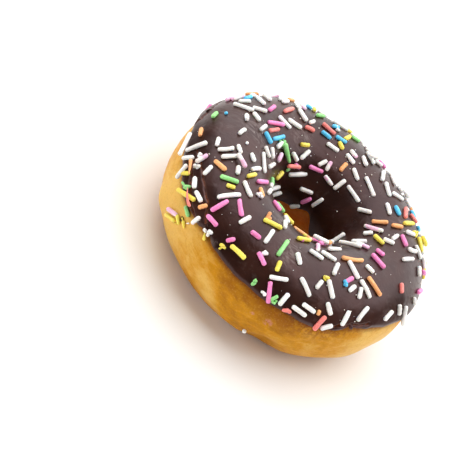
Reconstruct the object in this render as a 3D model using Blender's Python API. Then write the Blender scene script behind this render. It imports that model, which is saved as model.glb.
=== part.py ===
"""Ring doughnut with chocolate icing and rod sprinkles, in metres with +Z up.

Two solids: the fried dough ring, and the icing that lies on it with its sprinkles fused on.
The origin is on the table under the middle of the hole. A point of the ring is given by its turn,
the angle round the ring from +X, and its lift, the angle round the section: 0 on the outer side,
a quarter turn on top and a half turn at the hole.
"""

import math
import random

import bmesh
import bpy
from mathutils import Matrix, Vector

# Dough
OUTER_DIAMETER = 0.0850
HOLE_DIAMETER = 0.0248
WIDEST_HEIGHT = 0.0158
DOUGH_HEIGHT = 0.0317
BASE_DEPTH = 0.0166  # depth of the lower half's curve below the widest height, cut off flat by the table

# Waves round the ring, each with its count, its size and the turn of its first crest in degrees
RING_WAVES = ((1, 0.0005, 170), (2, 0.0005, 150), (3, 0.0003, 20), (5, 0.00015, 70))
WIDTH_WAVES = ((2, 0.0004, -60), (3, 0.0003, 100), (7, 0.0001, 10))
HEIGHT_WAVES = ((1, 0.0003, 60), (2, 0.0004, 10), (5, 0.0002, 35))

# Icing
ICING_THICKNESS = 0.0013
CONTACT_GAP = 0.0003
OUTER_EDGE_LIFT = 23.5  # degrees
INNER_EDGE_LIFT = 197.0
OUTER_EDGE_WAVES = ((1, 1.2, -27), (2, 1.5, -47), (3, 2.5, -30), (5, 2.0, -23), (9, 1.2, 5), (14, 0.6, 11))
INNER_EDGE_WAVES = ((1, 3.7, -80), (2, 6.3, 26), (3, 4.3, 35), (5, 3.6, -18), (7, 2.7, 4))

# Sprinkles
SPRINKLE_RADIUS = 0.00069
SPRINKLE_LENGTHS = (0.0026, 0.0082, 0.0040)  # shortest, longest and most common
SPRINKLE_COUNT = 232
SPRINKLE_SINK = 0.42  # share of the radius below the icing's surface
SPRINKLE_SEED = 28
SPRINKLE_EDGE_MARGIN = 5.0  # degrees of lift kept free along both edges of the icing
STACKED_SHARE = 0.05  # share of the sprinkles that lie across another one
STACKED_RISE = 1.5  # in radii, how much higher those lie
STACKED_REACH = 1.6  # in radii, how near their centre line comes to the one below
FREE_DISTANCE = 2.15  # in radii, the least distance between the centre lines of the others
ROD_SHOULDER = 0.35  # in radii, how far a sprinkle's full width runs past its straight part

# Drifts and thin patches of sprinkles: turn, lift, half width in degrees, and what it adds to the scatter
DRIFTS = (
    (-142, 58, 16, 1.2),
    (-118, 60, 14, 0.6),
    (-165, 100, 20, 0.9),
    (-75, 128, 22, 1.2),
    (150, 75, 25, 1.2),
    (95, 85, 30, 1.0),
    (135, 130, 18, 1.0),
    (20, 75, 30, 0.5),
    (-95, 60, 18, -0.4),
    (-172, 55, 18, -0.4),
    (-20, 50, 15, -0.3),
    (-56, 32, 10, 2.6),
    (-142, 30, 11, 2.4),
    (-12, 32, 10, 1.1),
    (88, 62, 11, 1.4),
    (26, 45, 12, 0.9),
    (46, 56, 10, 0.8),
    (156, 48, 10, 0.9),
    (-42, 68, 10, 0.9),
    (-23, 91, 8, 0.9),
    (116, 61, 13, -1.1),
    (120, 108, 16, -0.6),
    (55, 152, 24, -0.5),
    (76, 119, 12, 0.9),
    (138, 138, 14, 0.8),
    (-168, 74, 13, -1.2),
    (168, 33, 14, -1.0),
    (-7, 74, 18, -0.8),
    (-82, 102, 11, -1.0),
    (-30, 111, 14, -0.8),
    (-172, 136, 12, -0.7),
    (56, 101, 14, -0.6),
)
SCATTER_BASE = 0.6
SCATTER_FULL = 2.2  # what the base and the drifts come to where the sprinkles lie thickest
SCATTER_LEAST = 0.02
STEEPEST_SLOPE = 0.12  # upward part of the surface's direction below which as many still stick
SLOPE_FADE = 0.7

# Faces
RING_STEPS = 64
DOUGH_SECTION_STEPS = 20
ICING_TOP_STEPS = 14
ICING_UNDER_STEPS = 8
ROD_SIDES = 5

RING_RADIUS = (OUTER_DIAMETER + HOLE_DIAMETER) / 4
HALF_WIDTH = (OUTER_DIAMETER - HOLE_DIAMETER) / 4
TOP_RISE = DOUGH_HEIGHT - WIDEST_HEIGHT


def waves(turn, terms):
    """Sum of the waves at a turn."""
    return sum(size * math.cos(count * (turn - math.radians(crest))) for count, size, crest in terms)


def section(turn, lift):
    """Radius and height of the dough's surface, and its outward direction in the section."""
    ring = RING_RADIUS + waves(turn, RING_WAVES)
    width = HALF_WIDTH + waves(turn, WIDTH_WAVES)
    rise = TOP_RISE + waves(turn, HEIGHT_WAVES) if math.sin(lift) > 0 else BASE_DEPTH
    radius = ring + width * math.cos(lift)
    height = WIDEST_HEIGHT + rise * math.sin(lift)
    outward = Vector((math.cos(lift) / width, math.sin(lift) / rise)).normalized()
    return radius, height, outward


def dough_point(turn, lift):
    """Point of the dough, flat where it stands on the table."""
    radius, height, _ = section(turn, lift)
    return Vector((radius * math.cos(turn), radius * math.sin(turn), max(height, 0.0)))


def raised_point(turn, lift, offset):
    """Point at an offset outside the dough."""
    radius, height, outward = section(turn, lift)
    radius += offset * outward.x
    height += offset * outward.y
    return Vector((radius * math.cos(turn), radius * math.sin(turn), height))


def icing_edges(turn):
    """Lifts of the icing's outer edge and of its edge in the hole."""
    outer = OUTER_EDGE_LIFT + waves(turn, OUTER_EDGE_WAVES)
    inner = INNER_EDGE_LIFT + waves(turn, INNER_EDGE_WAVES)
    return math.radians(outer), math.radians(inner)


def icing_depth(turn, lift):
    """Thickness of the icing, which rounds off to nothing at its edges."""
    outer, inner = icing_edges(turn)
    from_edge = min(lift - outer, inner - lift) * HALF_WIDTH / ICING_THICKNESS
    share = min(max(from_edge, 0.0), 1.0)
    return ICING_THICKNESS * math.sqrt(1 - (1 - share) ** 2)


def rounded_steps(count, edge):
    """Shares from 0 to 1 for count points: the two ends are edge wide and take a point more each."""
    inner = [edge + (1 - 2 * edge) * i / (count - 5) for i in range(count - 4)]
    return [0.0, edge * 0.3, *inner, 1 - edge * 0.3, 1.0]


def icing_point(turn, step):
    """Point of the icing for one step round its own section: first over the top, then back below."""
    outer, inner = icing_edges(turn)
    top = rounded_steps(ICING_TOP_STEPS, ICING_THICKNESS / HALF_WIDTH / (inner - outer))
    if step < ICING_TOP_STEPS:
        lift = outer + (inner - outer) * top[step]
        return raised_point(turn, lift, CONTACT_GAP + icing_depth(turn, lift))
    share = 1 - (step - ICING_TOP_STEPS + 1) / (ICING_UNDER_STEPS + 1)
    return raised_point(turn, outer + (inner - outer) * share, CONTACT_GAP)


def material(name, color, roughness):
    """Plain Principled material of one colour."""
    made = bpy.data.materials.new(name)
    made.use_nodes = True
    shader = made.node_tree.nodes["Principled BSDF"]
    shader.inputs["Base Color"].default_value = (*color, 1.0)
    shader.inputs["Roughness"].default_value = roughness
    return made


def ring_from_torus(name, section_steps, point_at):
    """Torus primitive whose vertices are moved to point_at(turn, step)."""
    bpy.ops.mesh.primitive_torus_add(
        major_segments=RING_STEPS,
        minor_segments=section_steps,
        major_radius=RING_RADIUS,
        minor_radius=HALF_WIDTH,
    )
    ring = bpy.context.object
    ring.name = name
    for index, vertex in enumerate(ring.data.vertices):
        turn = 2 * math.pi * (index // section_steps) / RING_STEPS
        vertex.co = point_at(turn, index % section_steps)
    return ring


def make_dough():
    """The fried ring."""

    def point_at(turn, step):
        return dough_point(turn, 2 * math.pi * (step + 0.5) / DOUGH_SECTION_STEPS)

    dough = ring_from_torus("dough", DOUGH_SECTION_STEPS, point_at)
    dough.data.materials.append(material("fried_dough", (0.66, 0.36, 0.09), 0.55))
    dough.data.shade_smooth()
    return dough


def make_icing():
    """The layer of icing, with rounded edges, just clear of the dough."""
    icing = ring_from_torus("icing", ICING_TOP_STEPS + ICING_UNDER_STEPS, icing_point)
    icing.data.materials.append(material("chocolate_icing", (0.04, 0.018, 0.013), 0.35))
    return icing


def thickness_of_scatter(turn, lift):
    """How thickly the sprinkles lie at a place, from 0 to 1: most on top, and more in the drifts."""
    _, _, outward = section(turn, lift)
    amount = SCATTER_BASE
    for drift_turn, drift_lift, spread, weight in DRIFTS:
        across = math.remainder(math.degrees(turn) - drift_turn, 360)
        along = math.degrees(lift) - drift_lift
        amount += weight * math.exp(-(across**2 + along**2) / (2 * spread**2))
    share = min(max(amount / SCATTER_FULL, SCATTER_LEAST), 1.0)
    return share * max(STEEPEST_SLOPE, outward.y) ** SLOPE_FADE


def nearest_distance(a, b):
    """Shortest distance between the centre lines of two sprinkles."""
    start_a, end_a = a[0] - a[1] * a[2], a[0] + a[1] * a[2]
    start_b, end_b = b[0] - b[1] * b[2], b[0] + b[1] * b[2]
    u, v, w = end_a - start_a, end_b - start_b, start_a - start_b
    uu, uv, vv, uw, vw = u.dot(u), u.dot(v), v.dot(v), u.dot(w), v.dot(w)
    spread = uu * vv - uv * uv
    s = min(max((uv * vw - vv * uw) / spread, 0.0), 1.0) if spread > 1e-18 else 0.0
    t = min(max((uv * s + vw) / vv, 0.0), 1.0)
    s = min(max((uv * t - uw) / uu, 0.0), 1.0)
    return (w + u * s - v * t).length


def lay_sprinkles():
    """Sprinkles as (centre, direction, half length, outward normal), by a seeded rule."""
    draw = random.Random(SPRINKLE_SEED)
    margin = math.radians(SPRINKLE_EDGE_MARGIN)
    laid = []
    while len(laid) < SPRINKLE_COUNT:
        turn = draw.uniform(0, 2 * math.pi)
        outer, inner = icing_edges(turn)
        lift = draw.uniform(outer + margin, inner - margin)
        heading = draw.uniform(0, math.pi)
        length = draw.triangular(*SPRINKLE_LENGTHS)
        keep = draw.random()
        stacked = draw.random() < STACKED_SHARE
        radius, _, outward = section(turn, lift)
        if keep > thickness_of_scatter(turn, lift) * radius / (OUTER_DIAMETER / 2):
            continue
        around = Vector((-math.sin(turn), math.cos(turn), 0))
        normal = Vector((outward.x * math.cos(turn), outward.x * math.sin(turn), outward.y))
        direction = around * math.cos(heading) + normal.cross(around) * math.sin(heading)
        height = SPRINKLE_RADIUS * (1 - SPRINKLE_SINK)
        if stacked:
            height += SPRINKLE_RADIUS * STACKED_RISE
        centre = raised_point(turn, lift, CONTACT_GAP + icing_depth(turn, lift) + height)
        rod = (centre, direction, length / 2 - SPRINKLE_RADIUS, normal)
        nearest = min((nearest_distance(rod, other) for other in laid), default=1.0)
        crossing = stacked and nearest < SPRINKLE_RADIUS * STACKED_REACH
        if crossing or not stacked and nearest > SPRINKLE_RADIUS * FREE_DISTANCE:
            laid.append(rod)
    return laid


def make_rod(collection, rod):
    """One sprinkle: a sphere of few sides, drawn out along its axis."""
    centre, direction, half_length, normal = rod
    shape = bmesh.new()
    bmesh.ops.create_uvsphere(shape, u_segments=ROD_SIDES, v_segments=3, radius=1.0)
    for vertex in shape.verts:
        flat = Vector((vertex.co.x, vertex.co.y))
        if flat.length < 0.5:
            reach, flat = SPRINKLE_RADIUS, Vector((0, 0))
        else:
            reach, flat = SPRINKLE_RADIUS * ROD_SHOULDER, flat.normalized() * SPRINKLE_RADIUS
        vertex.co = (flat.x, flat.y, math.copysign(half_length + reach, vertex.co.z))
    side = normal.cross(direction).normalized()
    turned = Matrix((side, direction.cross(side), direction)).transposed().to_4x4()
    shape.transform(Matrix.Translation(centre) @ turned)
    mesh = bpy.data.meshes.new("sprinkle")
    shape.to_mesh(mesh)
    shape.free()
    made = bpy.data.objects.new("sprinkle", mesh)
    collection.objects.link(made)
    return made


def keep_outer_shell(mesh):
    """Drops loose scraps and sealed hollows, which a union leaves as small shells of their own."""
    shape = bmesh.new()
    shape.from_mesh(mesh)
    shape.verts.ensure_lookup_table()
    unseen = set(range(len(shape.verts)))
    shells = []
    while unseen:
        shell = []
        waiting = [shape.verts[unseen.pop()]]
        while waiting:
            vertex = waiting.pop()
            shell.append(vertex)
            for edge in vertex.link_edges:
                other = edge.other_vert(vertex)
                if other.index in unseen:
                    unseen.remove(other.index)
                    waiting.append(other)
        shells.append(shell)
    shells.sort(key=len)
    loose = [vertex for shell in shells[:-1] for vertex in shell]
    bmesh.ops.delete(shape, geom=loose, context="VERTS")
    shape.to_mesh(mesh)
    shape.free()


def fuse_sprinkles(icing):
    """Joins the sprinkles to the icing with one union, and removes their own objects."""
    sprinkles = bpy.data.collections.new("sprinkles")
    bpy.context.scene.collection.children.link(sprinkles)
    rods = [make_rod(sprinkles, rod) for rod in lay_sprinkles()]
    union = icing.modifiers.new("sprinkles", "BOOLEAN")
    union.operation = "UNION"
    union.operand_type = "COLLECTION"
    union.collection = sprinkles
    union.solver = "MANIFOLD"
    bpy.context.view_layer.objects.active = icing
    bpy.ops.object.modifier_apply(modifier=union.name)
    for rod in rods:
        bpy.data.objects.remove(rod)
    bpy.data.collections.remove(sprinkles)
    keep_outer_shell(icing.data)


def main():
    for old in list(bpy.data.objects):
        bpy.data.objects.remove(old)
    doughnut = bpy.data.collections.new("doughnut")
    bpy.context.scene.collection.children.link(doughnut)
    dough = make_dough()
    icing = make_icing()
    fuse_sprinkles(icing)
    for piece in (dough, icing):
        for holder in piece.users_collection:
            holder.objects.unlink(piece)
        doughnut.objects.link(piece)


main()
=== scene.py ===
"""Ring doughnut with chocolate icing and rod sprinkles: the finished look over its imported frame."""

import math
import random

import bpy
from mathutils import Matrix, Vector, kdtree, noise


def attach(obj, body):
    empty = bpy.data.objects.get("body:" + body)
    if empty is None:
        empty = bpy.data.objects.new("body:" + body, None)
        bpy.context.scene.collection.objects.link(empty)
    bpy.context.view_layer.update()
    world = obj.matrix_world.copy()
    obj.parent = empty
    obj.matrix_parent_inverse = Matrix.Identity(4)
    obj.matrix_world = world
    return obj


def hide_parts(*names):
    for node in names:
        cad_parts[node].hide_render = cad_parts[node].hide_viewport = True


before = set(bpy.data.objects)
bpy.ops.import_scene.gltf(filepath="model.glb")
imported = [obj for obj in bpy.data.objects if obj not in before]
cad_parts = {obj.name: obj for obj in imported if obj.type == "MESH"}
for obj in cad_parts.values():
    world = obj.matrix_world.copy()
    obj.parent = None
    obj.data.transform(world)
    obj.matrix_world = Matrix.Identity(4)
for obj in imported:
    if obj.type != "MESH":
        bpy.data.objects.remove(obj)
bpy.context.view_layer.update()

bl_info = {
    "name": "Iced Ring Doughnut",
    "version": (1, 0, 0),
    "blender": (4, 5, 0),
    "location": "3D View > Sidebar > Doughnut",
    "description": "Makes a fried ring doughnut with chocolate icing and rod sprinkles",
    "category": "Add Mesh",
}

# Dough, in metres, as the frame's own ring
OUTER_DIAMETER = 0.0850
HOLE_DIAMETER = 0.0248
WIDEST_HEIGHT = 0.0158
DOUGH_HEIGHT = 0.0317
BASE_DEPTH = 0.0166
RING_WAVES = ((1, 0.0005, 170), (2, 0.0005, 150), (3, 0.0003, 20), (5, 0.00015, 70))
WIDTH_WAVES = ((2, 0.0004, -60), (3, 0.0003, 100), (7, 0.0001, 10))
HEIGHT_WAVES = ((1, 0.0003, 60), (2, 0.0004, 10), (5, 0.0002, 35))

# Icing
ICING_THICKNESS = 0.0013
CONTACT_GAP = 0.0003
OUTER_EDGE_LIFT = 23.5
INNER_EDGE_LIFT = 197.0
OUTER_EDGE_WAVES = ((1, 1.2, -27), (2, 1.5, -47), (3, 2.5, -30), (5, 2.0, -23), (9, 1.2, 5), (14, 0.6, 11))
INNER_EDGE_WAVES = ((1, 3.7, -80), (2, 6.3, 26), (3, 4.3, 35), (5, 3.6, -18), (7, 2.7, 4))

# Sprinkles, laid by the frame's own seeded rule
SPRINKLE_RADIUS = 0.00069
SPRINKLE_LENGTHS = (0.0026, 0.0082, 0.0040)  # shortest, longest and most common
SPRINKLE_COUNT = 232
SPRINKLE_SINK = 0.42
SPRINKLE_SEED = 28
SPRINKLE_EDGE_MARGIN = 5.0
STACKED_SHARE = 0.05
STACKED_RISE = 1.5
STACKED_REACH = 1.6
FREE_DISTANCE = 2.15
DRIFTS = (
    (-142, 58, 16, 1.2),
    (-118, 60, 14, 0.6),
    (-165, 100, 20, 0.9),
    (-75, 128, 22, 1.2),
    (150, 75, 25, 1.2),
    (95, 85, 30, 1.0),
    (135, 130, 18, 1.0),
    (20, 75, 30, 0.5),
    (-95, 60, 18, -0.4),
    (-172, 55, 18, -0.4),
    (-20, 50, 15, -0.3),
    (-56, 32, 10, 2.6),
    (-142, 30, 11, 2.4),
    (-12, 32, 10, 1.1),
    (88, 62, 11, 1.4),
    (26, 45, 12, 0.9),
    (46, 56, 10, 0.8),
    (156, 48, 10, 0.9),
    (-42, 68, 10, 0.9),
    (-23, 91, 8, 0.9),
    (116, 61, 13, -1.1),
    (120, 108, 16, -0.6),
    (55, 152, 24, -0.5),
    (76, 119, 12, 0.9),
    (138, 138, 14, 0.8),
    (-168, 74, 13, -1.2),
    (168, 33, 14, -1.0),
    (-7, 74, 18, -0.8),
    (-82, 102, 11, -1.0),
    (-30, 111, 14, -0.8),
    (-172, 136, 12, -0.7),
    (56, 101, 14, -0.6),
)
SCATTER_BASE = 0.6
SCATTER_FULL = 2.2  # what the base and the drifts come to where the sprinkles lie thickest
SCATTER_LEAST = 0.02
STEEPEST_SLOPE = 0.12
SLOPE_FADE = 0.7

RING_RADIUS = (OUTER_DIAMETER + HOLE_DIAMETER) / 4
HALF_WIDTH = (OUTER_DIAMETER - HOLE_DIAMETER) / 4
TOP_RISE = DOUGH_HEIGHT - WIDEST_HEIGHT

# Small hollows pressed into the dough: turn, lift, reach and depth. The first has a negative depth: it swells
DENTS = (
    (-143, -20, 0.0065, -0.0009),
    (-66, -37, 0.0085, 0.0021),
    (-101, -18, 0.0070, 0.0005),
    (-58, 8, 0.0080, 0.0004),
    (-122, -16, 0.0075, 0.0004),
    (-18, -12, 0.0070, 0.0005),
    (38, 2, 0.0090, 0.0006),
    (88, -14, 0.0080, 0.0007),
    (142, 4, 0.0070, 0.0005),
    (176, -20, 0.0090, 0.0006),
)

# Cracks in the icing: the turns and lifts that they pass, their half width and their depth
CRACKS = (
    (((-153, 40), (-144, 45), (-137, 46), (-130, 43), (-124, 41), (-120, 36), (-116, 30)), 0.00028, 0.00040),
    (((-147, 40), (-140, 35), (-133, 31), (-128, 27), (-124, 24), (-119, 22)), 0.00042, 0.00085),
    (((167, 29), (175, 33), (182, 34), (186, 32), (190, 28)), 0.00040, 0.00080),
    (((-50, 29), (-46, 33), (-42, 35), (-38, 34), (-33, 37)), 0.00042, 0.00085),
)

# Places where the icing's rim broke back or ran down: turn, half width and rise, in degrees
RIM_BREAKS = (
    (-112.5, 2.6, 3.2),
    (-104, 2.2, 1.4),
    (-118, 1.8, -1.2),
    (-64, 2.4, -1.0),
    (-42, 2.2, 2.8),
    (-33, 1.8, -0.9),
    (178, 3.0, -1.5),
    (60, 2.5, 1.5),
    (105, 2.2, -1.2),
)

# Toasted band below the icing: where it is broadest, its spread in degrees, and its least and most reach
TOASTED_TURN = -60
TOASTED_SPREAD = 24
TOASTED_REACH = (0.0008, 0.0042)

# Camera, as the photograph was taken: degrees, metres and millimetres
VIEW_TILT = 52.9
VIEW_ROLL = -43.35
VIEW_DISTANCE = 0.420
VIEW_LENS = 111.7
VIEW_AIM = Vector((-0.0198, -0.0006))

# Lights: name, place, height aimed at, width, length, share of the key power and whether they are mirrored
LIGHTS = (
    ("softbox_top", (0.02, 0.30, 0.82), 0.02, 2.30, 1.10, 1.80, True),
    ("backdrop", (0.0, 1.5, 0.50), 0.05, 3.0, 0.9, 1.45, True),
    ("fill_right", (0.60, -0.45, 0.22), 0.02, 0.45, 0.35, 0.14, False),
    ("fill_left", (-0.62, -0.48, 0.24), 0.02, 0.45, 0.35, 0.25, False),
)


def linear(code):
    """Scene-linear colour of an sRGB hex value."""
    parts = [int(code[i : i + 2], 16) / 255 for i in (1, 3, 5)]
    return tuple(v / 12.92 if v <= 0.04045 else ((v + 0.055) / 1.055) ** 2.4 for v in parts)


def waves(turn, terms):
    """Sum of the waves at a turn."""
    return sum(size * math.cos(count * (turn - math.radians(crest))) for count, size, crest in terms)


def section(turn, lift):
    """Radius and height of the dough's surface, and its outward direction in the section."""
    ring = RING_RADIUS + waves(turn, RING_WAVES)
    width = HALF_WIDTH + waves(turn, WIDTH_WAVES)
    rise = TOP_RISE + waves(turn, HEIGHT_WAVES) if math.sin(lift) > 0 else BASE_DEPTH
    radius = ring + width * math.cos(lift)
    height = WIDEST_HEIGHT + rise * math.sin(lift)
    outward = Vector((math.cos(lift) / width, math.sin(lift) / rise)).normalized()
    return radius, height, outward


def raised_point(turn, lift, offset):
    """Point at an offset outside the dough."""
    radius, height, outward = section(turn, lift)
    radius += offset * outward.x
    height += offset * outward.y
    return Vector((radius * math.cos(turn), radius * math.sin(turn), height))


def resting_place(turn, lift, rise):
    """Point above whatever is there, the icing or the bare crust."""
    outer, inner = icing_edges(turn)
    skin = CONTACT_GAP + icing_depth(turn, lift) if outer < lift < inner else 0.0
    return raised_point(turn, lift, skin + rise)


def surface_normal(turn, lift):
    """Outward direction of the dough's surface."""
    outward = section(turn, lift)[2]
    return Vector((outward.x * math.cos(turn), outward.x * math.sin(turn), outward.y))


def skin_axes(turn, lift):
    """Directions at a place on the dough: round the ring, over the section and outward."""
    normal = surface_normal(turn, lift)
    around = Vector((-math.sin(turn), math.cos(turn), 0))
    return around, normal.cross(around), normal


def icing_edges(turn):
    """Lifts of the icing's outer edge and of its edge in the hole."""
    outer = OUTER_EDGE_LIFT + waves(turn, OUTER_EDGE_WAVES)
    inner = INNER_EDGE_LIFT + waves(turn, INNER_EDGE_WAVES)
    return math.radians(outer), math.radians(inner)


def icing_depth(turn, lift):
    """Thickness of the icing, which rounds off to nothing at its edges."""
    outer, inner = icing_edges(turn)
    from_edge = min(lift - outer, inner - lift) * HALF_WIDTH / ICING_THICKNESS
    share = min(max(from_edge, 0.0), 1.0)
    return ICING_THICKNESS * math.sqrt(1 - (1 - share) ** 2)


# Materials

# Sockets of a colour mix, which has them under the same names for each kind of value
MIX_SHARE, MIX_UNDER, MIX_OVER, MIX_RESULT = 0, 6, 7, 2


def opaque(color):
    """Colour with its alpha."""
    return (*color, 1.0)


def add_node(tree, kind, inputs, output=0, **settings):
    """Adds a node; inputs maps a socket to its value or to the output that feeds it. Returns one output."""
    node = tree.nodes.new(kind)
    for name, value in settings.items():
        setattr(node, name, value)
    for name, value in inputs.items():
        if isinstance(value, bpy.types.NodeSocket):
            tree.links.new(value, node.inputs[name])
        else:
            node.inputs[name].default_value = value
    return node.outputs[output]


def per_mm(size):
    """Scale of a pattern whose features are about this many millimetres across."""
    return 1000 / size


def new_material(name):
    """Empty Principled material: the material, its tree, its shader and the object coordinates."""
    made = bpy.data.materials.new(name)
    made.use_nodes = True
    tree = made.node_tree
    shader = tree.nodes["Principled BSDF"]
    place = add_node(tree, "ShaderNodeTexCoord", {}, "Object")
    return made, tree, shader, place


def paint(tree, shader, base, layers):
    """Paints layers over a base: each is a pattern, where it starts and is full, its most and its colour."""
    color = opaque(base)
    for pattern, start, full, most, over in layers:
        share = add_node(
            tree,
            "ShaderNodeMapRange",
            {"Value": pattern, "From Min": start, "From Max": full, "To Max": most},
        )
        color = add_node(
            tree,
            "ShaderNodeMix",
            {MIX_SHARE: share, MIX_UNDER: color, MIX_OVER: opaque(over)},
            MIX_RESULT,
            data_type="RGBA",
        )
    tree.links.new(color, shader.inputs["Base Color"])


def emboss(tree, shader, place, reliefs):
    """Raises relief over relief: each is its size in mm, its noise settings, its strength and its depth."""
    raised = {}
    for size, settings, strength, depth in reliefs:
        height = add_node(tree, "ShaderNodeTexNoise", {"Vector": place, "Scale": per_mm(size), **settings})
        inputs = {"Height": height, "Strength": strength, "Distance": depth, **raised}
        raised = {"Normal": add_node(tree, "ShaderNodeBump", inputs)}
    tree.links.new(raised["Normal"], shader.inputs["Normal"])


def spots(tree, place, places):
    """Soft patches: 1 at each centre and 0 at its reach. Each place is x, y, z, reach and flatness, in mm."""
    patches = 0.0
    for x, y, z, reach, flatness in places:
        centre = (x / 1000, y / 1000, z / 1000)
        shift = add_node(tree, "ShaderNodeVectorMath", {0: place, 1: centre}, operation="SUBTRACT")
        shift = add_node(tree, "ShaderNodeVectorMath", {0: shift, 1: (1, 1, flatness)}, operation="MULTIPLY")
        far = add_node(tree, "ShaderNodeVectorMath", {0: shift}, "Value", operation="LENGTH")
        patch = add_node(
            tree,
            "ShaderNodeMapRange",
            {"Value": far, "From Min": reach / 1000, "From Max": 0.15 * reach / 1000},
            interpolation_type="SMOOTHSTEP",
        )
        patches = add_node(tree, "ShaderNodeMath", {0: patch, 1: patches}, operation="MAXIMUM")
    return patches


# Painted light and shade on the crust, paler where light falls on it and deeper where the front lies in
# shade, and where it took colour from a sprinkle
LIT_CRUST_PLACES = ((-30, -31, 15, 26, 1), (40, -15, 17, 18, 1), (-7, -42, 9, 10, 1))
SHADED_CRUST_PLACES = ((7, -42, 17, 20, 1),)
RUBBED_PLACES = ((13.4, -41.2, 16.6, 2.0, 1), (8.3, -42.5, 16.4, 1.2, 1))
# The crust inside the hole, painted a deeper orange for the warm light that bounces inside it
HOLE_BOUNCE_PLACES = ((0, 4, 9, 20, 1.4),)


def fried_dough():
    """Yeast dough fried in fat: a thin golden crust, satin with fat, over a soft crumb that lets light in."""
    made, tree, shader, place = new_material("fried_dough")
    looks = bpy.context.scene.doughnut_dough
    # tone runs from deep to pale: broad patches of 16 mm, and the places named above, which paint light and
    # shade on the crust
    broad = add_node(
        tree,
        "ShaderNodeTexNoise",
        {"Vector": place, "Scale": per_mm(16), "Roughness": 0.55, "Distortion": 0.4},
    )
    tone = add_node(tree, "ShaderNodeMath", {0: broad, 1: 0.55, 2: 0.225}, operation="MULTIPLY_ADD")
    # painted light: paler where light falls on the crust
    painted_light = spots(tree, place, LIT_CRUST_PLACES)
    tone = add_node(tree, "ShaderNodeMath", {0: painted_light, 1: 0.25, 2: tone}, operation="MULTIPLY_ADD")
    # painted shade: deeper where the front lies in shade
    painted_shade = spots(tree, place, SHADED_CRUST_PLACES)
    tone = add_node(tree, "ShaderNodeMath", {0: painted_shade, 1: -0.16, 2: tone}, operation="MULTIPLY_ADD")
    # streaks of 4 mm that run round the ring, flattened to half their height
    flat = add_node(tree, "ShaderNodeVectorMath", {0: place, 1: (1, 1, 2)}, operation="MULTIPLY")
    streaks = add_node(
        tree, "ShaderNodeTexNoise", {"Vector": flat, "Scale": per_mm(4), "Detail": 4.0, "Distortion": 0.8}
    )
    streaks = add_node(
        tree,
        "ShaderNodeMapRange",
        {"Value": streaks, "From Min": 0.3, "From Max": 0.7, "To Min": -0.08, "To Max": 0.08},
    )
    tone = add_node(tree, "ShaderNodeMath", {0: tone, 1: streaks}, operation="ADD")
    height = add_node(tree, "ShaderNodeSeparateXYZ", {"Vector": place}, "Z")
    wander = add_node(tree, "ShaderNodeTexNoise", {"Vector": place, "Scale": per_mm(12)})
    low = add_node(tree, "ShaderNodeMath", {0: wander, 1: 0.006, 2: height}, operation="MULTIPLY_ADD")
    mottle = add_node(
        tree, "ShaderNodeTexNoise", {"Vector": place, "Scale": per_mm(1.3), "Detail": 3.0, "Roughness": 0.65}
    )
    mottle = add_node(
        tree, "ShaderNodeMapRange", {"Value": mottle, "From Min": 0.42, "From Max": 0.56, "To Min": 0.15}
    )
    toasted = add_node(tree, "ShaderNodeAttribute", {}, "Fac", attribute_name="toasted")
    toasted = add_node(tree, "ShaderNodeMath", {0: toasted, 1: mottle}, operation="MULTIPLY")
    browned = add_node(tree, "ShaderNodeAttribute", {}, "Fac", attribute_name="browned")
    speckle = add_node(tree, "ShaderNodeTexNoise", {"Vector": place, "Scale": per_mm(0.5), "Detail": 1.0})
    patchy = add_node(tree, "ShaderNodeTexNoise", {"Vector": place, "Scale": per_mm(0.8)})
    patchy = add_node(tree, "ShaderNodeMapRange", {"Value": patchy, "From Min": 0.38, "From Max": 0.6})
    rubbed = spots(tree, place, RUBBED_PLACES)
    rubbed = add_node(tree, "ShaderNodeMath", {0: rubbed, 1: patchy}, operation="MULTIPLY")
    layers = (
        (tone, 0.30, 0.50, 1.0, looks.crust_color),
        (tone, 0.50, 0.72, 1.0, looks.pale_color),
        # browner towards the bottom
        (low, 0.011, 0.002, 0.55, looks.under_color),
        # painted bounce light: a deeper orange in the hole, for the warm light that bounces inside it
        (spots(tree, place, HOLE_BOUNCE_PLACES), 0.0, 1.0, 1.0, looks.hole_bounce_color),
        # toasted and mottled below the icing's rim, with a narrow brown line right against it that is partly
        # browned crust and partly painted shade under the icing's edge
        (toasted, 0.0, 1.0, 1.0, looks.toasted_color),
        (browned, 0.0, 1.0, 0.75, looks.browning_and_shade_color),
        # paler and darker specks, drawn at half a millimetre so that they show
        (speckle, 0.54, 0.76, 0.18, looks.pale_color),
        (speckle, 0.46, 0.28, 0.20, looks.deep_color),
        # pink rubbed off a sprinkle
        (rubbed, 0.0, 1.0, 0.8, looks.rubbed_color),
    )
    paint(tree, shader, looks.deep_color, layers)
    satin = add_node(tree, "ShaderNodeTexNoise", {"Vector": place, "Scale": per_mm(7), "Detail": 3.0})
    satin = add_node(
        tree, "ShaderNodeMath", {0: satin, 1: 0.4, 2: looks.roughness - 0.1}, operation="MULTIPLY_ADD"
    )
    tree.links.new(satin, shader.inputs["Roughness"])
    shader.inputs["IOR"].default_value = 1.45
    shader.inputs["Specular IOR Level"].default_value = 0.18
    shader.inputs["Subsurface Weight"].default_value = 0.22
    shader.inputs["Subsurface Radius"].default_value = (1.0, 0.45, 0.15)
    shader.inputs["Subsurface Scale"].default_value = 0.0022
    puckers = (5, {"Detail": 3.0, "Distortion": 0.6}, 0.35, 0.0009)
    grain = (0.9, {"Detail": 3.0}, 0.6, 0.00018)
    emboss(tree, shader, place, (puckers, grain))
    return made


# Where the icing was touched, and where sugar dulled it
SCUFFS = (
    (-27, -1, 32.4, 8, 1),
    (-18, -3, 29.6, 7, 1),
    (4.5, -30.5, 31.2, 6.5, 1),
    (-17, 15, 31.0, 6, 1),
    (24, 14, 31.5, 7, 1),
    (-4, -24, 32, 5, 1),
)


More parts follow.
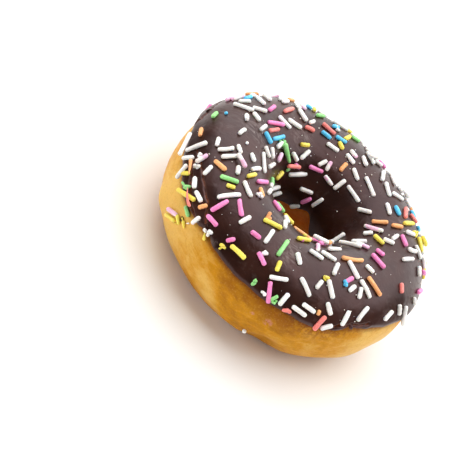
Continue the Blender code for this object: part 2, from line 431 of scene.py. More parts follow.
def set_chocolate():
    """Chocolate icing, dipped and set: smooth and dark, with a purplish satin sheen, grey where touched."""
    made, tree, shader, place = new_material("set_chocolate_icing")
    looks = bpy.context.scene.doughnut_icing
    broad = add_node(tree, "ShaderNodeTexNoise", {"Vector": place, "Scale": per_mm(11), "Distortion": 0.3})
    # bloom: cocoa butter and sugar turned grey, in fine streaks where it was touched and faintly elsewhere
    drawn = add_node(tree, "ShaderNodeVectorMath", {0: place, 1: (0.6, 1.7, 1.0)}, operation="MULTIPLY")
    strokes = add_node(
        tree,
        "ShaderNodeTexNoise",
        {"Vector": drawn, "Scale": per_mm(2.2), "Detail": 5.0, "Roughness": 0.66, "Distortion": 1.0},
    )
    strokes = add_node(
        tree,
        "ShaderNodeMapRange",
        {"Value": strokes, "From Min": 0.46, "From Max": 0.72, "To Max": looks.bloom},
    )
    touched = spots(tree, place, SCUFFS)
    scuffs = add_node(tree, "ShaderNodeMath", {0: touched, 1: strokes}, operation="MULTIPLY")
    faint = add_node(
        tree, "ShaderNodeTexNoise", {"Vector": place, "Scale": per_mm(3.5), "Detail": 4.0, "Roughness": 0.7}
    )
    faint = add_node(
        tree, "ShaderNodeMapRange", {"Value": faint, "From Min": 0.58, "From Max": 0.8, "To Max": 0.12}
    )
    bloom = add_node(tree, "ShaderNodeMath", {0: scuffs, 1: faint}, operation="MAXIMUM")
    # caramel brown shows in the cracks by the rim
    cracked = add_node(tree, "ShaderNodeAttribute", {}, "Fac", attribute_name="cracked")
    ragged = add_node(tree, "ShaderNodeTexNoise", {"Vector": place, "Scale": per_mm(0.9), "Detail": 3.0})
    ragged = add_node(tree, "ShaderNodeMapRange", {"Value": ragged, "From Min": 0.35, "From Max": 0.6})
    caramel = add_node(tree, "ShaderNodeMath", {0: cracked, 1: ragged}, operation="MULTIPLY")
    # the icing's thin edge lets a red brown through
    thin = add_node(tree, "ShaderNodeAttribute", {}, "Fac", attribute_name="thin")
    layers = (
        (broad, 0.32, 0.68, 1.0, looks.color),
        (bloom, 0.0, 1.0, 1.0, looks.bloom_color),
        (thin, 0.0, 1.0, 1.0, looks.edge_color),
        (caramel, 0.0, 1.0, 1.0, looks.crack_color),
    )
    paint(tree, shader, looks.dark_color, layers)
    satin = add_node(tree, "ShaderNodeTexNoise", {"Vector": place, "Scale": per_mm(6), "Detail": 3.0})
    satin = add_node(
        tree, "ShaderNodeMath", {0: satin, 1: 0.3, 2: looks.roughness - 0.08}, operation="MULTIPLY_ADD"
    )
    satin = add_node(tree, "ShaderNodeMath", {0: bloom, 1: 0.25, 2: satin}, operation="MULTIPLY_ADD")
    satin = add_node(tree, "ShaderNodeMath", {0: thin, 1: 0.35, 2: satin}, operation="MULTIPLY_ADD")
    tree.links.new(satin, shader.inputs["Roughness"])
    shader.inputs["IOR"].default_value = 1.48
    shader.inputs["Specular Tint"].default_value = opaque(looks.sheen_color)
    swells = (9, {"Roughness": 0.45, "Distortion": 0.5}, 0.5, 0.0008)
    ripples = (3.5, {"Distortion": 1.2}, 0.35, 0.0003)
    skin = (0.7, {}, 0.3, 0.00006)
    emboss(tree, shader, place, (swells, ripples, skin))
    return made


CHALK = linear("#f4efe9")
SECOND_WHITE = linear("#efe9e5")
DUST_WHITE = linear("#e6dfd6")


def sugar(name, color, second=None):
    """Sugar paste with starch, extruded and dried: matt to satin, chalky where rubbed, letting light in."""
    made, tree, shader, place = new_material(name)
    tone = add_node(tree, "ShaderNodeTexNoise", {"Vector": place, "Scale": per_mm(6), "Detail": 1.0})
    light = [min(1.0, v * 1.08 + 0.01) for v in color]
    dark = [v * 0.86 for v in color]
    layers = [(tone, 0.35, 0.65, 1.0, light)]
    if second:
        parts = add_node(tree, "ShaderNodeTexNoise", {"Vector": place, "Scale": per_mm(3.2), "Detail": 1.0})
        layers.append((parts, 0.46, 0.54, 1.0, second))
    chalk = add_node(
        tree, "ShaderNodeTexNoise", {"Vector": place, "Scale": per_mm(0.7), "Detail": 3.0, "Roughness": 0.65}
    )
    layers.append((chalk, 0.58, 0.74, 0.35, CHALK))
    paint(tree, shader, dark, layers)
    shader.inputs["Roughness"].default_value = 0.48
    shader.inputs["IOR"].default_value = 1.5
    shader.inputs["Subsurface Weight"].default_value = 0.25
    shader.inputs["Subsurface Radius"].default_value = (1.0, 0.8, 0.6)
    shader.inputs["Subsurface Scale"].default_value = 0.0006
    pits = (0.45, {}, 0.35, 0.00008)
    emboss(tree, shader, place, (pits,))
    return made


def studio_paper():
    """Matt background paper: nearly white, with no shine of its own."""
    made, tree, shader, place = new_material("studio_paper")
    looks = bpy.context.scene.doughnut_stage
    tone = add_node(tree, "ShaderNodeTexNoise", {"Vector": place, "Scale": per_mm(60)})
    shade = [v * 0.97 for v in looks.paper_color]
    paint(tree, shader, shade, [(tone, 0.0, 1.0, 1.0, looks.paper_color)])
    shader.inputs["Roughness"].default_value = 0.8
    return made


# Shapes


def select_only(*objects):
    """Selects these objects alone and makes the first one active."""
    bpy.ops.object.select_all(action="DESELECT")
    for item in objects:
        item.select_set(True)
    bpy.context.view_layer.objects.active = objects[0]


def finish_piece(piece, material, node):
    """Gives a finished piece its material and its body, and hides the node that it stands for."""
    piece.data.materials.clear()
    piece.data.materials.append(material)
    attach(piece, "root")
    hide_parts(node)


# How finely the dough and the icing are cut, round the ring and round the section
RING_STEPS = 256
DOUGH_STEPS = 128
ICING_TOP_STEPS = 88
ICING_UNDER_STEPS = 16


def ring_from_torus(name, section_steps, point_at):
    """Torus primitive at the ring's size, whose points are drawn to point_at(turn, step)."""
    bpy.ops.object.select_all(action="DESELECT")
    bpy.ops.mesh.primitive_torus_add(
        major_segments=RING_STEPS,
        minor_segments=section_steps,
        major_radius=RING_RADIUS,
        minor_radius=HALF_WIDTH,
    )
    ring = bpy.context.object
    ring.name = name
    for index, vertex in enumerate(ring.data.vertices):
        turn = 2 * math.pi * (index // section_steps) / RING_STEPS
        vertex.co = point_at(turn, index % section_steps)
    bpy.ops.object.shade_smooth()
    return ring


def press_dents(piece, dents):
    """Presses soft hollows in, and draws the swelling out, with proportional editing."""
    select_only(piece)
    for turn, lift, reach, depth in dents:
        turn, lift = math.radians(turn), math.radians(lift)
        centre = raised_point(turn, lift, 0.0)
        nearest = min(piece.data.vertices, key=lambda vertex: (vertex.co - centre).length_squared).index
        bpy.ops.object.mode_set(mode="EDIT")
        bpy.ops.mesh.select_all(action="DESELECT")
        bpy.ops.object.mode_set(mode="OBJECT")
        piece.data.vertices[nearest].select = True
        bpy.ops.object.mode_set(mode="EDIT")
        bpy.ops.transform.translate(
            value=surface_normal(turn, lift) * -depth,
            use_proportional_edit=True,
            proportional_edit_falloff="SMOOTH",
            proportional_size=reach,
            use_proportional_connected=True,
        )
        bpy.ops.object.mode_set(mode="OBJECT")


# Unevenness of the crust and of the icing: waves to the metre and height
CRUST_SWELLS = (70, 0.00035)
CRUST_PUCKERS = (230, 0.00010)
ICING_SWELLS = (85, 0.00022)
RIM_BEAD = (0.0013, 0.0011, 0.00014)  # distance from the rim, half width and height


def dough_relief(point):
    """Unevenness of the crust, in metres: broad swells and small puckers."""
    swells = noise.noise(point * CRUST_SWELLS[0]) * CRUST_SWELLS[1]
    puckers = noise.noise(point * CRUST_PUCKERS[0] + Vector((7, 3, 5))) * CRUST_PUCKERS[1]
    return swells + puckers


def toasted_share(turn, lift):
    """How toasted the crust is at a place: a band below the icing's outer rim, broad at the front."""
    below = max(0.0, icing_edges(turn)[0] - lift) * HALF_WIDTH
    from_front = math.remainder(math.degrees(turn) - TOASTED_TURN, 360) / TOASTED_SPREAD
    front = math.exp(-(from_front**2))
    reach = TOASTED_REACH[0] + (TOASTED_REACH[1] - TOASTED_REACH[0]) * front
    return (0.45 + 0.55 * front) * math.exp(-((below / reach) ** 2))


# the band that this gives is partly browned crust and partly painted shade under the icing's edge
def rim_share(turn, lift):
    """1 right below the icing's outer rim, fading within a millimetre."""
    below = (icing_edges(turn)[0] - lift) * HALF_WIDTH
    return math.exp(-((max(0.0, below) / 0.0010) ** 2))


def add_attribute(piece, name, values):
    """Gives each point of a piece a value that its material reads."""
    piece.data.attributes.new(name, "FLOAT", "POINT").data.foreach_set("value", values)


def make_dough():
    """The fried ring, with its swells, puckers and dents, flat where it rests."""
    toasted = []
    browned = []

    def point_at(turn, step):
        lift = 2 * math.pi * (step + 0.5) / DOUGH_STEPS
        toasted.append(toasted_share(turn, lift) if lift < math.pi / 2 else 0.0)
        browned.append(rim_share(turn, lift) if lift < math.pi / 2 else 0.0)
        point = raised_point(turn, lift, 0.0)
        point = raised_point(turn, lift, dough_relief(point))
        return Vector((point.x, point.y, max(point.z, 0.0)))

    dough = ring_from_torus("dough_crust", DOUGH_STEPS, point_at)
    add_attribute(dough, "toasted", toasted)
    add_attribute(dough, "browned", browned)
    press_dents(dough, DENTS)
    for vertex in dough.data.vertices:
        vertex.co.z = max(vertex.co.z, 0.0)
    return dough


def icing_relief(turn, lift, point):
    """Unevenness of the icing, in metres: slow swells, and a thicker bead along its outer rim."""
    outer, inner = icing_edges(turn)
    from_rim = (lift - outer) * HALF_WIDTH
    bead = RIM_BEAD[2] * math.exp(-(((from_rim - RIM_BEAD[0]) / RIM_BEAD[1]) ** 2))
    swells = noise.noise(point * ICING_SWELLS[0] + Vector((2, 9, 4))) * ICING_SWELLS[1]
    fade = min(1.0, max(0.0, min(from_rim, (inner - lift) * HALF_WIDTH) / 0.0012))
    return (bead + swells) * fade


def rim_wobble(turn):
    """Small unevenness of the outer rim, in radians of lift."""
    around = Vector((math.cos(turn), math.sin(turn), 0))
    wobble = 1.1 * noise.noise(around * 9) + 0.7 * noise.noise(around * 24 + Vector((5, 0, 2)))
    for place, half_width, rise in RIM_BREAKS:
        away = math.remainder(math.degrees(turn) - place, 360) / half_width
        wobble += rise * math.exp(-(away**2))
    return math.radians(wobble)


def crack_line(places):
    """Points close together along a crack, which wanders a little from side to side."""
    points = []
    for start, end in zip(places, places[1:]):
        for step in range(40):
            turn = start[0] + (end[0] - start[0]) * step / 40
            lift = start[1] + (end[1] - start[1]) * step / 40
            lift += 1.6 * noise.noise(Vector((turn * 0.45, lift * 0.2, 3.0)))
            points.append(raised_point(math.radians(turn), math.radians(lift), CONTACT_GAP + ICING_THICKNESS))
    return points


# How far from a crack the icing is cut finer
CRACK_REACH = 0.0016


def open_cracks(icing):
    """Cuts the icing finer along its cracks, presses them in and marks them for the material."""
    lines = [(crack_line(places), half_width, depth) for places, half_width, depth in CRACKS]
    trees = []
    for points, half_width, depth in lines:
        tree = kdtree.KDTree(len(points))
        for index, point in enumerate(points):
            tree.insert(point, index)
        tree.balance()
        trees.append((tree, half_width, depth))
    select_only(icing)
    bpy.ops.object.mode_set(mode="EDIT")
    bpy.ops.mesh.select_all(action="DESELECT")
    bpy.ops.mesh.select_mode(type="FACE")
    bpy.ops.object.mode_set(mode="OBJECT")
    for face in icing.data.polygons:
        face.select = any(tree.find(face.center)[2] < CRACK_REACH for tree, _, _ in trees)
    bpy.ops.object.mode_set(mode="EDIT")
    bpy.ops.mesh.subdivide(number_cuts=3)
    bpy.ops.object.mode_set(mode="OBJECT")
    normals = [vertex.normal.copy() for vertex in icing.data.vertices]
    cracked = []
    for vertex, normal in zip(icing.data.vertices, normals):
        deepest = 0.0
        for tree, half_width, depth in trees:
            away = tree.find(vertex.co)[2] / half_width
            share = math.exp(-(away**2))
            if share > 0.02:
                vertex.co -= normal * depth * share
                deepest = max(deepest, share)
        cracked.append(deepest)
    add_attribute(icing, "cracked", cracked)


def make_icing():
    """The dipped skin of icing: thick and rounded at its rim, with its underside just clear of the crust."""
    thin = []

    def point_at(turn, step):
        outer, inner = icing_edges(turn)
        edge = ICING_THICKNESS / HALF_WIDTH / (inner - outer)
        wobble = rim_wobble(turn)
        if step < ICING_TOP_STEPS:
            share = step / (ICING_TOP_STEPS - 1)
            # steps stand closer together at both edges
            share = share - 0.86 * math.sin(2 * math.pi * share) / (2 * math.pi)
            lift = outer + (inner - outer) * share
            depth = icing_depth(turn, lift) + icing_relief(turn, lift, raised_point(turn, lift, 0.0))
            thin.append(math.exp(-(((lift - outer) * HALF_WIDTH / 0.00035) ** 2)))
            hold = math.exp(-(((share / edge) / 6) ** 2))
            return raised_point(turn, lift + wobble * hold, CONTACT_GAP + depth)
        thin.append(1.0)
        share = 1 - (step - ICING_TOP_STEPS + 1) / (ICING_UNDER_STEPS + 1)
        hold = math.exp(-(((share / edge) / 6) ** 2))
        return raised_point(turn, outer + (inner - outer) * share + wobble * hold, CONTACT_GAP)

    icing = ring_from_torus("chocolate_icing", ICING_TOP_STEPS + ICING_UNDER_STEPS, point_at)
    add_attribute(icing, "thin", thin)
    open_cracks(icing)
    return icing


# Where the rim flaked off: turn and lift of each flake
FLAKES = ((-124.8, 6.5), (-114.5, 29), (-106.5, 28), (-42, 33), (179, 33))
FLAKE_THICKNESS = 0.00026
FLAKE_SEED = 41


def make_flakes():
    """Thin broken plates of icing where the rim cracked off."""
    draw = random.Random(FLAKE_SEED)
    flakes = []
    for turn, lift in FLAKES:
        turn, lift = math.radians(turn), math.radians(lift)
        frame_of_flake = Matrix(skin_axes(turn, lift)).transposed()
        spin = Matrix.Rotation(draw.uniform(0, math.pi), 3, "Z")
        tumble = spin @ Matrix.Rotation(draw.uniform(-0.35, 0.35), 3, "X")
        size = Vector((draw.uniform(0.0007, 0.0012), draw.uniform(0.0005, 0.0007), FLAKE_THICKNESS))
        bpy.ops.object.select_all(action="DESELECT")
        bpy.ops.mesh.primitive_ico_sphere_add(subdivisions=2, radius=1.0)
        flake = bpy.context.object
        bpy.ops.object.shade_smooth()
        centre = resting_place(turn, lift, 0.0002)
        for vertex in flake.data.vertices:
            rough = vertex.co * (1 + 0.35 * noise.noise(vertex.co * 1.7 + centre * 900))
            vertex.co = centre + frame_of_flake @ tumble @ (rough * size)
        flakes.append(flake)
    return join_pieces("icing_flakes", flakes)


def thickness_of_scatter(turn, lift):
    """How thickly the sprinkles lie at a place, from 0 to 1: most on top, and more in the drifts."""
    _, _, outward = section(turn, lift)
    amount = SCATTER_BASE
    for drift_turn, drift_lift, spread, weight in DRIFTS:
        across = math.remainder(math.degrees(turn) - drift_turn, 360)
        along = math.degrees(lift) - drift_lift
        amount += weight * math.exp(-(across**2 + along**2) / (2 * spread**2))
    share = min(max(amount / SCATTER_FULL, SCATTER_LEAST), 1.0)
    return share * max(STEEPEST_SLOPE, outward.y) ** SLOPE_FADE


def nearest_distance(a, b):
    """Shortest distance between the centre lines of two sprinkles."""
    start_a, end_a = a[0] - a[1] * a[2], a[0] + a[1] * a[2]
    start_b, end_b = b[0] - b[1] * b[2], b[0] + b[1] * b[2]
    u, v, w = end_a - start_a, end_b - start_b, start_a - start_b
    uu, uv, vv, uw, vw = u.dot(u), u.dot(v), v.dot(v), u.dot(w), v.dot(w)
    spread = uu * vv - uv * uv
    s = min(max((uv * vw - vv * uw) / spread, 0.0), 1.0) if spread > 1e-18 else 0.0
    t = min(max((uv * s + vw) / vv, 0.0), 1.0)
    s = min(max((uv * t - uw) / uu, 0.0), 1.0)
    return (w + u * s - v * t).length


def lay_sprinkles():
    """Sprinkles as (centre, direction, half length, outward normal), by a seeded rule."""
    draw = random.Random(SPRINKLE_SEED)
    margin = math.radians(SPRINKLE_EDGE_MARGIN)
    laid = []
    while len(laid) < SPRINKLE_COUNT:
        turn = draw.uniform(0, 2 * math.pi)
        outer, inner = icing_edges(turn)
        lift = draw.uniform(outer + margin, inner - margin)
        heading = draw.uniform(0, math.pi)
        length = draw.triangular(*SPRINKLE_LENGTHS)
        keep = draw.random()
        stacked = draw.random() < STACKED_SHARE
        radius, _, _ = section(turn, lift)
        if keep > thickness_of_scatter(turn, lift) * radius / (OUTER_DIAMETER / 2):
            continue
        around, over, normal = skin_axes(turn, lift)
        direction = around * math.cos(heading) + over * math.sin(heading)
        height = SPRINKLE_RADIUS * (1 - SPRINKLE_SINK)
        if stacked:
            height += SPRINKLE_RADIUS * STACKED_RISE
        centre = raised_point(turn, lift, CONTACT_GAP + icing_depth(turn, lift) + height)
        rod = (centre, direction, length / 2 - SPRINKLE_RADIUS, normal)
        nearest = min((nearest_distance(rod, other) for other in laid), default=1.0)
        crossing = stacked and nearest < SPRINKLE_RADIUS * STACKED_REACH
        if crossing or not stacked and nearest > SPRINKLE_RADIUS * FREE_DISTANCE:
            laid.append(rod)
    return laid


def rod_model():
    """One sprinkle's model: a small ball whose rings are later drawn out along the rod."""
    bpy.ops.object.select_all(action="DESELECT")
    bpy.ops.mesh.primitive_uv_sphere_add(segments=7, ring_count=8, radius=1.0)
    model = bpy.context.object
    bpy.ops.object.shade_smooth()
    return model


# Where each ring of the ball goes: its height on the ball, then its place along the rod as a share of
# the half length and of the radius, and its own radius
ROD_RINGS = (
    (0.0, 0.0, 0.0, 1.0),
    (0.383, 0.55, 0.0, 1.0),
    (0.707, 1.0, 0.15, 0.98),
    (0.924, 1.0, 0.72, 0.72),
    (1.0, 1.0, 1.0, 0.0),
)


def copy_of(model):
    """A copy of a model with its own mesh."""
    piece = model.copy()
    piece.data = model.data.copy()
    bpy.context.scene.collection.objects.link(piece)
    return piece


def copy_rod(model, rod, draw, radius, taper):
    """A copy of the model as one rod, slightly bent and uneven, and thinner by the taper at its far end."""
    centre, direction, half_length, normal = rod
    piece = copy_of(model)
    side = normal.cross(direction).normalized()
    bend = draw.gauss(0, 0.035) + (draw.choice((-1, 1)) * 0.14 if draw.random() < 0.08 else 0.0)
    bend *= max(0.0, half_length - radius)
    swell = [draw.uniform(0.92, 1.07) for _ in range(9)]
    blunt = (draw.uniform(0.7, 1.0), draw.uniform(0.7, 1.0))
    for vertex in piece.data.vertices:
        height = abs(vertex.co.z)
        ring = min(ROD_RINGS, key=lambda row: abs(row[0] - height))
        end = math.copysign(1, vertex.co.z)
        tip = blunt[0] if end > 0 else blunt[1]
        along = end * (half_length * ring[1] + radius * ring[2] * tip)
        flat = Vector((vertex.co.x, vertex.co.y))
        flat = flat.normalized() * ring[3] * radius if flat.length > 1e-4 else flat
        flat *= swell[round(end * ring[0] * 4) + 4] * (1 - taper * (1 + end * ring[1]) / 2)
        curve = bend * (1 - (along / max(half_length, radius)) ** 2)
        vertex.co = centre + direction * along + side * (flat.x + curve) + direction.cross(side) * flat.y
    return piece


def join_pieces(name, pieces):
    """Joins copies into one piece."""
    select_only(*pieces)
    bpy.ops.object.join()
    joined = bpy.context.object
    joined.name = name
    joined.data.name = name
    return joined


# Kinds of sprinkle, and the share of each in the scatter
SPRINKLE_SHARES = {
    "white": 0.55,
    "pink": 0.10,
    "pink_and_white": 0.06,
    "yellow": 0.10,
    "orange": 0.075,
    "coral": 0.045,
    "blue": 0.04,
    "green": 0.03,
}
BIT_SIZES = (0.00045, 0.0007)
CRUSHED_SIZES = (0.00028, 0.00058)
DUST_SIZES = (0.00008, 0.00030)
DUST_COUNT = 190
DUST_SEED = 57
COLOR_SEED = 288
RIM_ROD_THICKNESS = 0.93

# Sprinkles by the icing's rim and on the bare crust: kind, then turn and lift of both ends
RIM_RODS = (
    ("white", (-159, 36), (-148, 26)),
    ("white", (-142, 35), (-140, 17)),
    ("green", (-128, 18), (-123, 16)),
    ("white", (-120, 16), (-119, 29)),
    ("yellow", (-132.5, -13), (-125.8, -1.5)),
    ("pink_and_white", (-133.3, -6.5), (-126.7, 4.5)),
    ("white", (-76.5, -28), (-75, -26.5)),
    ("white", (64, 5), (65, 8)),
    ("pink", (175, 18), (171, 25)),
    ("white", (174, 21), (181, 20)),
    ("pink", (151, -4), (152, -1)),
)

# Splinters of sprinkles: kind, turn and lift of the thick end and of the thin end, thickness and taper
SPLINTERS = (
    ("orange", (-144, 38), (-137, 34), 0.8, 0.6),
    ("coral", (-124, 25), (-132, 30), 0.75, 0.75),
    ("green", (-137, 24), (-134, 26), 0.6, 0.3),
    ("green", (163, 119), (155, 141), 1.4, 0.45),
    ("yellow", (-111.3, 18.5), (-113.4, 27), 0.85, 0.75),
    ("yellow", (-127.6, 4), (-123.4, 0.5), 0.9, 0.2),
    ("yellow", (-123.6, 8), (-120.8, 4.5), 0.75, 0.4),
    ("yellow", (-125.2, 8), (-123.2, 7), 0.5, 0.4),
    ("yellow", (-126.2, -5), (-125.2, -4), 0.3, 0.2),
    ("white", (-121, 13), (-122, 9), 0.4, 0.6),
)

# Crushed sprinkles: kind, turn, lift, number of pieces and how far they lie about
CRUSHED = (
    ("white", -146, 46, 9, 0.0009),
    ("white", -141, 41, 5, 0.0006),
    ("pink_and_white", -119, 93, 7, 0.0008),
    ("yellow", -104, 32, 6, 0.0007),
    ("yellow", -60, 72, 4, 0.0006),
    ("blue", -48, 71, 4, 0.0006),
    ("white", -91, 59, 2, 0.0003),
    ("green", -86, 33, 3, 0.0004),
    ("white", -81, 30, 2, 0.0004),
    ("green", -76, 29, 3, 0.0005),
    ("coral", -70, 28, 2, 0.0003),
    ("green", -134, 26, 3, 0.0008),
    ("green", 163.5, 119, 7, 0.0010),
    ("white", -112, 28, 3, 0.0007),
    ("orange", -104, 88, 3, 0.0008),
    ("yellow", 30, 70, 5, 0.0007),
    ("white", 110, 80, 5, 0.0008),
)


def scatter_bits(draw, count, reach):
    """Broken bits of sprinkle on the icing: centre, direction, half length and normal."""
    bits = []
    while len(bits) < count:
        turn = draw.uniform(0, 2 * math.pi)
        outer, inner = icing_edges(turn)
        lift = draw.uniform(outer + 0.12, min(inner, math.radians(165)) - 0.1)
        if draw.random() > thickness_of_scatter(turn, lift):
            continue
        around, over, normal = skin_axes(turn, lift)
        heading = draw.uniform(0, math.pi)
        direction = around * math.cos(heading) + over * math.sin(heading)
        size = draw.uniform(*reach)
        centre = raised_point(turn, lift, CONTACT_GAP + icing_depth(turn, lift) + size * 0.4)
        bits.append((centre, direction, size * draw.uniform(0.1, 0.9), normal, size))
    return bits


def rim_rods(kind, laid):
    """The rods and splinters of one kind that lie by the rim, on top of any that are already there."""
    rods = []
    whole = [(*row, RIM_ROD_THICKNESS, 0.0) for row in RIM_RODS]
    for name, start, end, thickness, taper in (*whole, *SPLINTERS):
        if name != kind:
            continue
        turn, lift = [math.radians(sum(values) / 2) for values in zip(start, end)]
        radius = SPRINKLE_RADIUS * thickness
        start, end = [
            resting_place(math.radians(turn), math.radians(lift), radius * 0.75)
            for turn, lift in (start, end)
        ]
        normal = surface_normal(turn, lift)
        across = (end - start).length
        centre = (start + end) / 2 + normal * across**2 / (8 * HALF_WIDTH)
        rod = (centre, (end - start).normalized(), max(across / 2 - radius, 0.0002), normal)
        if min(nearest_distance(rod, other) for other in laid) < SPRINKLE_RADIUS * STACKED_REACH:
            rod = (centre + normal * SPRINKLE_RADIUS * STACKED_RISE, *rod[1:])
        rods.append((rod, radius, taper))
    return rods


def crushed_bits(kind, draw):
    """Little pieces of the crushed sprinkles of one kind: centre, direction, half length, normal and size."""
    bits = []
    for name, turn, lift, count, reach in CRUSHED:
        for _ in range(count if name == kind else 0):
            at_turn = math.radians(turn) + draw.gauss(0, 0.5) * reach / RING_RADIUS
            at_lift = math.radians(lift) + draw.gauss(0, 0.5) * reach / HALF_WIDTH
            size = draw.uniform(*CRUSHED_SIZES)
            normal = surface_normal(at_turn, at_lift)
            direction = Vector([draw.gauss(0, 1) for _ in range(3)]).normalized()
            side = normal.cross(direction).normalized().cross(direction)
            centre = resting_place(at_turn, at_lift, size * draw.uniform(0.4, 1.3))
            bits.append((centre, direction, size * draw.uniform(0.2, 1.4), side, size))
    return bits


def make_sprinkles():
    """All sprinkles, one piece for each colour, with the broken bits of the same colour."""
    draw = random.Random(COLOR_SEED)
    looks = bpy.context.scene.doughnut_sprinkles
    names, shares = list(SPRINKLE_SHARES), list(SPRINKLE_SHARES.values())
    laid = lay_sprinkles()
    rods = {name: [] for name in names}
    for rod in laid:
        rods[draw.choices(names, shares)[0]].append((rod, SPRINKLE_RADIUS * draw.uniform(0.94, 1.05), 0.0))
    for name in names:
        rods[name] += rim_rods(name, laid)
        for *bit, size in scatter_bits(draw, 3 if name == "white" else 1, BIT_SIZES):
            rods[name].append((bit, size, 0.0))
        for *bit, size in crushed_bits(name, draw):
            rods[name].append((bit, size, 0.0))
    model = rod_model()
    for name in names:
        copies = [copy_rod(model, rod, draw, radius, taper) for rod, radius, taper in rods[name]]
        piece = join_pieces("sprinkles_" + name, copies)
        second = SECOND_WHITE if name == "pink_and_white" else None
        material = sugar("sugar_" + name, tuple(getattr(looks, name + "_color")), second)
        finish_piece(piece, material, "icing")
    bpy.data.objects.remove(model)


def make_crumbs():
    """Fine crumbs and dust of white sugar on the icing."""
    draw = random.Random(DUST_SEED)
    bpy.ops.object.select_all(action="DESELECT")
    bpy.ops.mesh.primitive_ico_sphere_add(subdivisions=1, radius=1.0)
    model = bpy.context.object
    crumbs = []
    for centre, _, _, _, size in scatter_bits(draw, DUST_COUNT, DUST_SIZES):
        piece = copy_of(model)
        for vertex in piece.data.vertices:
            vertex.co = centre + vertex.co * size * draw.uniform(0.55, 1.1)
        crumbs.append(piece)
    bpy.data.objects.remove(model)
    return join_pieces("sugar_crumbs", crumbs)


# Settings


def color_setting(name, description, color):
    """Setting for a colour, in scene-linear values."""
    return bpy.props.FloatVectorProperty(
        name=name, description=description, subtype="COLOR", size=3, min=0, max=1, default=color
    )


def share_setting(name, description, share):
    """Setting for a share from 0 to 1."""
    return bpy.props.FloatProperty(
        name=name, description=description, subtype="FACTOR", min=0, max=1, default=share
    )


class DoughnutDoughSettings(bpy.types.PropertyGroup):
    crust_color: color_setting("Crust", "Golden crust", linear("#ca8a0b"))
    # the pale and deep crust also carry the painted light and shade of the crust's lit and shaded places
    pale_color: color_setting("Pale crust", "Crust that fried least", linear("#dfb158"))
    deep_color: color_setting("Deep crust", "Crust that fried most", linear("#a06303"))
    under_color: color_setting("Underside", "Crust of the underside", linear("#a8641c"))
    # the hole colour is painted bounce light
    hole_bounce_color: color_setting("Hole", "Crust inside the hole", linear("#ea6c0a"))
    toasted_color: color_setting("Toasted", "Mottled crust below the icing", linear("#8f5010"))
    # the line against the icing is partly browning and partly painted shade
    browning_and_shade_color: color_setting("Browned", "Narrow line against the icing", linear("#6b2f0a"))
    rubbed_color: color_setting("Rubbed", "Pink rubbed off a sprinkle", linear("#d98f96"))
    roughness: share_setting("Roughness", "Lowest roughness of the crust", 0.36)


class DoughnutIcingSettings(bpy.types.PropertyGroup):
    color: color_setting("Icing", "Chocolate icing", linear("#361a10"))
    dark_color: color_setting("Dark icing", "Darkest chocolate", linear("#200c05"))
    bloom_color: color_setting("Bloom", "Greyed icing", linear("#a29691"))
    edge_color: color_setting("Edge", "Thin edge of the icing", linear("#4e210c"))
    crack_color: color_setting("Cracks", "Caramel brown in the cracks", linear("#7a3d16"))
    sheen_color: color_setting("Sheen", "Tint of the sheen", (1.0, 0.73, 0.77))
    roughness: share_setting("Roughness", "Lowest roughness of the icing", 0.27)
    bloom: share_setting("Bloom", "Strength of the grey scuffs", 0.50)


class DoughnutSprinkleSettings(bpy.types.PropertyGroup):
    white_color: color_setting("White", "White sugar", linear("#faf6f1"))
    pink_color: color_setting("Pink", "Pink sugar", linear("#ff8cc6"))
    pink_and_white_color: color_setting("Pink and white", "Pale pink of the mixed ones", linear("#f9c2de"))
    yellow_color: color_setting("Yellow", "Yellow sugar", linear("#fde45c"))
    orange_color: color_setting("Orange", "Orange sugar", linear("#ffaf70"))
    coral_color: color_setting("Coral", "Coral sugar", linear("#fb877e"))
    blue_color: color_setting("Blue", "Blue sugar", linear("#5ac8f5"))
    green_color: color_setting("Green", "Green sugar", linear("#98e089"))


class DoughnutStageSettings(bpy.types.PropertyGroup):
    paper_color: color_setting("Paper", "Colour of the floor", linear("#f3f1ee"))
    key_power: bpy.props.FloatProperty(
        name="Light", description="Power that the lights share out", unit="POWER", min=0, default=11.7
    )
    surround: bpy.props.FloatProperty(
        name="Surround", description="Brightness of the surroundings", min=0, default=0.13
    )


# Operators


class DOUGHNUT_OT_make_dough(bpy.types.Operator):
    """Makes the fried dough ring"""

    bl_idname = "doughnut.make_dough"
    bl_label = "Dough"

    def execute(self, context):
        finish_piece(make_dough(), fried_dough(), "dough")
        return {"FINISHED"}


class DOUGHNUT_OT_make_icing(bpy.types.Operator):
    """Makes the layer of chocolate icing and its broken flakes"""

    bl_idname = "doughnut.make_icing"
    bl_label = "Icing"

    def execute(self, context):
        chocolate = set_chocolate()
        finish_piece(make_icing(), chocolate, "icing")
        finish_piece(make_flakes(), chocolate, "icing")
        return {"FINISHED"}


class DOUGHNUT_OT_make_sprinkles(bpy.types.Operator):
    """Makes the sprinkles, one piece for each colour"""

    bl_idname = "doughnut.make_sprinkles"
    bl_label = "Sprinkles"

    def execute(self, context):
        make_sprinkles()
        return {"FINISHED"}


class DOUGHNUT_OT_make_crumbs(bpy.types.Operator):
    """Makes the fine sugar crumbs on the icing"""

    bl_idname = "doughnut.make_crumbs"
    bl_label = "Crumbs"

    def execute(self, context):
        finish_piece(make_crumbs(), sugar("sugar_dust", DUST_WHITE), "icing")
        return {"FINISHED"}


def add_softbox(name, location, target, width, height, power):
    """Soft light, a rectangle that faces its target."""
    bpy.ops.object.select_all(action="DESELECT")
    bpy.ops.object.light_add(type="AREA", location=location)
    lamp = bpy.context.object
    lamp.name = name
    lamp.data.shape = "RECTANGLE"
    lamp.data.size = width
    lamp.data.size_y = height
    lamp.data.energy = power
    lamp.rotation_euler = (Vector(target) - Vector(location)).to_track_quat("-Z", "Y").to_euler()
    return lamp


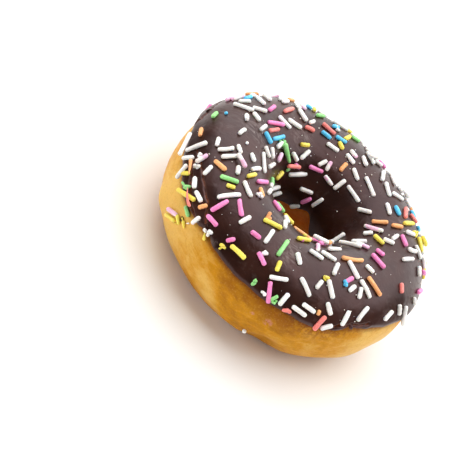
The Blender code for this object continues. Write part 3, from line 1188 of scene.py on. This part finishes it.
class DOUGHNUT_OT_make_stage(bpy.types.Operator):
    """Makes the floor, the lights and the camera"""

    bl_idname = "doughnut.make_stage"
    bl_label = "Stage"

    def execute(self, context):
        looks = context.scene.doughnut_stage
        bpy.ops.object.select_all(action="DESELECT")
        bpy.ops.mesh.primitive_plane_add(size=4.0, location=(0, 0, 0))
        floor = context.object
        floor.name = "floor"
        floor.data.materials.append(studio_paper())
        middle = Vector((-0.0005, 0.0001, (DOUGH_HEIGHT + ICING_THICKNESS) / 2))
        tilt, roll = math.radians(VIEW_TILT), math.radians(VIEW_ROLL)
        back = Vector((0, -math.sin(tilt), math.cos(tilt)))
        level, upright = Vector((1, 0, 0)), back.cross(Vector((1, 0, 0)))
        right = level * math.cos(roll) - upright * math.sin(roll)
        up = level * math.sin(roll) + upright * math.cos(roll)
        place = middle + back * VIEW_DISTANCE
        aim = middle + right * VIEW_AIM.x + up * VIEW_AIM.y
        behind = (place - aim).normalized()
        right = (right - behind * right.dot(behind)).normalized()
        turned = Matrix((right, behind.cross(right), behind)).transposed()
        bpy.ops.object.camera_add(location=place, rotation=turned.to_euler())
        camera = context.object
        camera.name = "camera"
        camera.data.lens = VIEW_LENS
        camera.data.sensor_width = 36
        camera.data.clip_start = 0.01
        context.scene.camera = camera
        # the fills light the crust from the sides and don't show as bright patches in the icing
        for name, location, height, width, length, share, mirrored in LIGHTS:
            lamp = add_softbox(name, location, (0, 0, height), width, length, looks.key_power * share)
            lamp.visible_glossy = mirrored
        world = bpy.data.worlds.new("surround")
        world.use_nodes = True
        sky = world.node_tree.nodes["Background"]
        sky.inputs["Color"].default_value = (1.0, 0.99, 0.98, 1)
        sky.inputs["Strength"].default_value = looks.surround
        context.scene.world = world
        context.scene.view_settings.view_transform = "Standard"
        return {"FINISHED"}


class DOUGHNUT_PT_sidebar(bpy.types.Panel):
    """Lists what makes the doughnut"""

    bl_idname = "DOUGHNUT_PT_sidebar"
    bl_label = "Iced Ring Doughnut"
    bl_space_type = "VIEW_3D"
    bl_region_type = "UI"
    bl_category = "Doughnut"

    def draw(self, context):
        for settings in SETTINGS:
            box = self.layout.box()
            group = getattr(context.scene, settings)
            for name in group.__annotations__:
                box.prop(group, name)
        for operator in OPERATORS:
            self.layout.operator(operator.bl_idname)


SETTINGS = {
    "doughnut_dough": DoughnutDoughSettings,
    "doughnut_icing": DoughnutIcingSettings,
    "doughnut_sprinkles": DoughnutSprinkleSettings,
    "doughnut_stage": DoughnutStageSettings,
}
OPERATORS = (
    DOUGHNUT_OT_make_dough,
    DOUGHNUT_OT_make_icing,
    DOUGHNUT_OT_make_sprinkles,
    DOUGHNUT_OT_make_crumbs,
    DOUGHNUT_OT_make_stage,
)


def register():
    for name, settings in SETTINGS.items():
        bpy.utils.register_class(settings)
        setattr(bpy.types.Scene, name, bpy.props.PointerProperty(type=settings))
    for made in (*OPERATORS, DOUGHNUT_PT_sidebar):
        bpy.utils.register_class(made)


def unregister():
    for made in reversed((*OPERATORS, DOUGHNUT_PT_sidebar)):
        bpy.utils.unregister_class(made)
    for name, settings in reversed(SETTINGS.items()):
        delattr(bpy.types.Scene, name)
        bpy.utils.unregister_class(settings)


def main():
    register()
    bpy.ops.doughnut.make_dough()
    bpy.ops.doughnut.make_icing()
    bpy.ops.doughnut.make_sprinkles()
    bpy.ops.doughnut.make_crumbs()
    bpy.ops.doughnut.make_stage()


if __name__ == "__main__":
    main()
